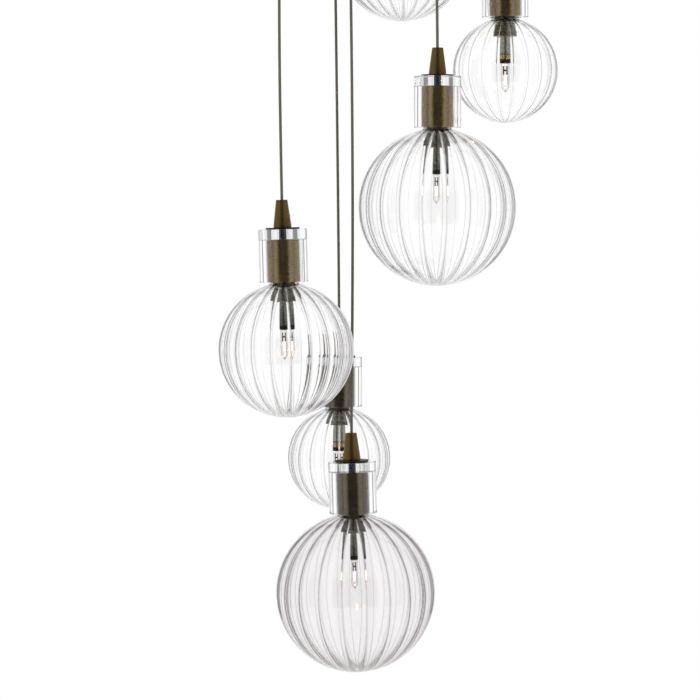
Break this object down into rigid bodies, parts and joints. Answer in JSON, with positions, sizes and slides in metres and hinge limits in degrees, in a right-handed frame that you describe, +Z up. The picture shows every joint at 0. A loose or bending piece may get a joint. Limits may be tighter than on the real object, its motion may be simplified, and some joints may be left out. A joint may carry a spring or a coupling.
{
  "type": "cluster pendant light",
  "caption": "Cluster pendant ceiling light: clear ribbed glass globes under clear sleeves with brass cups, hung on cords at stepped heights from a round brass canopy.",
  "frame": {"origin": "middle of the ceiling plate's top face, on the ceiling, which is also the centre of its four screw holes", "axes": "+Z up into the ceiling, -Y towards the viewer at the front, +X to the viewer's right"},
  "size_m": [0.4322, 0.3995, 1.2445],
  "materials": {
    "canopy_brass": "brushed antique brass",
    "fitting_brass": "brushed antique brass",
    "dark_brass": "dark patinated brass",
    "cup_brass": "brushed antique brass",
    "holder_brass": "satin brass and grey cap",
    "zinc_steel": "zinc plated",
    "block_plastic": "moulded",
    "bush_rubber": "matt",
    "cord_jacket": "dark olive woven jacket",
    "clear_acrylic": "polished clear",
    "bulb_glass": "clear",
    "globe_glass": "clear, optic ribbed"
  },
  "bodies": {
    "canopy": {"canopy_shell": "canopy_brass", "ceiling_plate": "zinc_steel", "rim_screws": "fitting_brass", "cord_glands": "fitting_brass", "gland_nuts": "fitting_brass", "terminal_block": "block_plastic"},
    "bush_1": {"swing_bush_1": "bush_rubber"},
    "pendant_1": {"cord_1": "cord_jacket", "cord_grip_1": "fitting_brass", "flange_disc_1": "dark_brass", "clear_sleeve_1": "clear_acrylic", "lamp_cup_1": "cup_brass", "lampholder_1": "holder_brass"},
    "shade_1": {"globe_1": "globe_glass"},
    "lamp_1": {"bulb_1": "bulb_glass"},
    "bush_2": {"swing_bush_2": "bush_rubber"},
    "pendant_2": {"cord_2": "cord_jacket", "cord_grip_2": "fitting_brass", "flange_disc_2": "dark_brass", "clear_sleeve_2": "clear_acrylic", "lamp_cup_2": "cup_brass", "lampholder_2": "holder_brass"},
    "shade_2": {"globe_2": "globe_glass"},
    "lamp_2": {"bulb_2": "bulb_glass"},
    "bush_3": {"swing_bush_3": "bush_rubber"},
    "pendant_3": {"cord_3": "cord_jacket", "cord_grip_3": "fitting_brass", "flange_disc_3": "dark_brass", "clear_sleeve_3": "clear_acrylic", "lamp_cup_3": "cup_brass", "lampholder_3": "holder_brass"},
    "shade_3": {"globe_3": "globe_glass"},
    "lamp_3": {"bulb_3": "bulb_glass"},
    "bush_4": {"swing_bush_4": "bush_rubber"},
    "pendant_4": {"cord_4": "cord_jacket", "cord_grip_4": "fitting_brass", "flange_disc_4": "dark_brass", "clear_sleeve_4": "clear_acrylic", "lamp_cup_4": "cup_brass", "lampholder_4": "holder_brass"},
    "shade_4": {"globe_4": "globe_glass"},
    "lamp_4": {"bulb_4": "bulb_glass"},
    "bush_5": {"swing_bush_5": "bush_rubber"},
    "pendant_5": {"cord_5": "cord_jacket", "cord_grip_5": "fitting_brass", "flange_disc_5": "dark_brass", "clear_sleeve_5": "clear_acrylic", "lamp_cup_5": "cup_brass", "lampholder_5": "holder_brass"},
    "shade_5": {"globe_5": "globe_glass"},
    "lamp_5": {"bulb_5": "bulb_glass"},
    "bush_6": {"swing_bush_6": "bush_rubber"},
    "pendant_6": {"cord_6": "cord_jacket", "cord_grip_6": "fitting_brass", "flange_disc_6": "dark_brass", "clear_sleeve_6": "clear_acrylic", "lamp_cup_6": "cup_brass", "lampholder_6": "holder_brass"},
    "shade_6": {"globe_6": "globe_glass"},
    "lamp_6": {"bulb_6": "bulb_glass"}
  },
  "joints": [
    {"name": "swing_fore_aft_1", "type": "hinge", "parent": "canopy", "child": "bush_1", "pos_m": [0.0179, 0.1, -0.038], "axis": [1, 0, 0], "range_deg": [-1.6, 2]},
    {"name": "swing_side_1", "type": "hinge", "parent": "bush_1", "child": "pendant_1", "pos_m": [0.0179, 0.1, -0.038], "axis": [0, 1, 0], "range_deg": [-2, 1.6]},
    {"name": "globe_lower_1", "type": "slide", "parent": "pendant_1", "child": "shade_1", "axis": [0.0052, 0, -1], "range_m": [0, 0.07]},
    {"name": "bulb_pull_1", "type": "slide", "parent": "pendant_1", "child": "lamp_1", "axis": [0.0052, 0, -1], "range_m": [0, 0.018]},
    {"name": "swing_fore_aft_2", "type": "hinge", "parent": "canopy", "child": "bush_2", "pos_m": [0.1488, 0.075, -0.038], "axis": [1, 0, 0], "range_deg": [-2, 2]},
    {"name": "swing_side_2", "type": "hinge", "parent": "bush_2", "child": "pendant_2", "pos_m": [0.1488, 0.075, -0.038], "axis": [0, 1, 0], "range_deg": [-2, 1.2]},
    {"name": "globe_lower_2", "type": "slide", "parent": "pendant_2", "child": "shade_2", "axis": [-0.0035, 0, -1], "range_m": [0, 0.045]},
    {"name": "bulb_pull_2", "type": "slide", "parent": "pendant_2", "child": "lamp_2", "axis": [-0.0035, 0, -1], "range_m": [0, 0.018]},
    {"name": "swing_fore_aft_3", "type": "hinge", "parent": "canopy", "child": "bush_3", "pos_m": [0.0584, 0.013, -0.038], "axis": [1, 0, 0], "range_deg": [-2, 1.6]},
    {"name": "swing_side_3", "type": "hinge", "parent": "bush_3", "child": "pendant_3", "pos_m": [0.0584, 0.013, -0.038], "axis": [0, 1, 0], "range_deg": [-1.2, 1.4]},
    {"name": "globe_lower_3", "type": "slide", "parent": "pendant_3", "child": "shade_3", "axis": [-0.0105, 0, -0.9999], "range_m": [0, 0.122]},
    {"name": "bulb_pull_3", "type": "slide", "parent": "pendant_3", "child": "lamp_3", "axis": [-0.0105, 0, -0.9999], "range_m": [0, 0.018]},
    {"name": "swing_fore_aft_4", "type": "hinge", "parent": "canopy", "child": "bush_4", "pos_m": [-0.1336, -0.095, -0.038], "axis": [1, 0, 0], "range_deg": [-2, 1.4]},
    {"name": "swing_side_4", "type": "hinge", "parent": "bush_4", "child": "pendant_4", "pos_m": [-0.1336, -0.095, -0.038], "axis": [0, 1, 0], "range_deg": [-1, 2]},
    {"name": "globe_lower_4", "type": "slide", "parent": "pendant_4", "child": "shade_4", "axis": [0.0201, 0, -0.9998], "range_m": [0, 0.085]},
    {"name": "bulb_pull_4", "type": "slide", "parent": "pendant_4", "child": "lamp_4", "axis": [0.0201, 0, -0.9998], "range_m": [0, 0.018]},
    {"name": "swing_fore_aft_5", "type": "hinge", "parent": "canopy", "child": "bush_5", "pos_m": [-0.069, 0.143, -0.038], "axis": [1, 0, 0], "range_deg": [-2, 2]},
    {"name": "swing_side_5", "type": "hinge", "parent": "bush_5", "child": "pendant_5", "pos_m": [-0.069, 0.143, -0.038], "axis": [0, 1, 0], "range_deg": [-1.6, 2]},
    {"name": "globe_lower_5", "type": "slide", "parent": "pendant_5", "child": "shade_5", "axis": [-0.0105, 0, -0.9999], "range_m": [0, 0.122]},
    {"name": "bulb_pull_5", "type": "slide", "parent": "pendant_5", "child": "lamp_5", "axis": [-0.0105, 0, -0.9999], "range_m": [0, 0.018]},
    {"name": "swing_fore_aft_6", "type": "hinge", "parent": "canopy", "child": "bush_6", "pos_m": [-0.0505, -0.032, -0.038], "axis": [1, 0, 0], "range_deg": [-1.4, 2]},
    {"name": "swing_side_6", "type": "hinge", "parent": "bush_6", "child": "pendant_6", "pos_m": [-0.0505, -0.032, -0.038], "axis": [0, 1, 0], "range_deg": [-1.4, 1]},
    {"name": "globe_lower_6", "type": "slide", "parent": "pendant_6", "child": "shade_6", "axis": [0.0192, 0, -0.9998], "range_m": [0, 0.122]},
    {"name": "bulb_pull_6", "type": "slide", "parent": "pendant_6", "child": "lamp_6", "axis": [0.0192, 0, -0.9998], "range_m": [0, 0.018]}
  ]
}
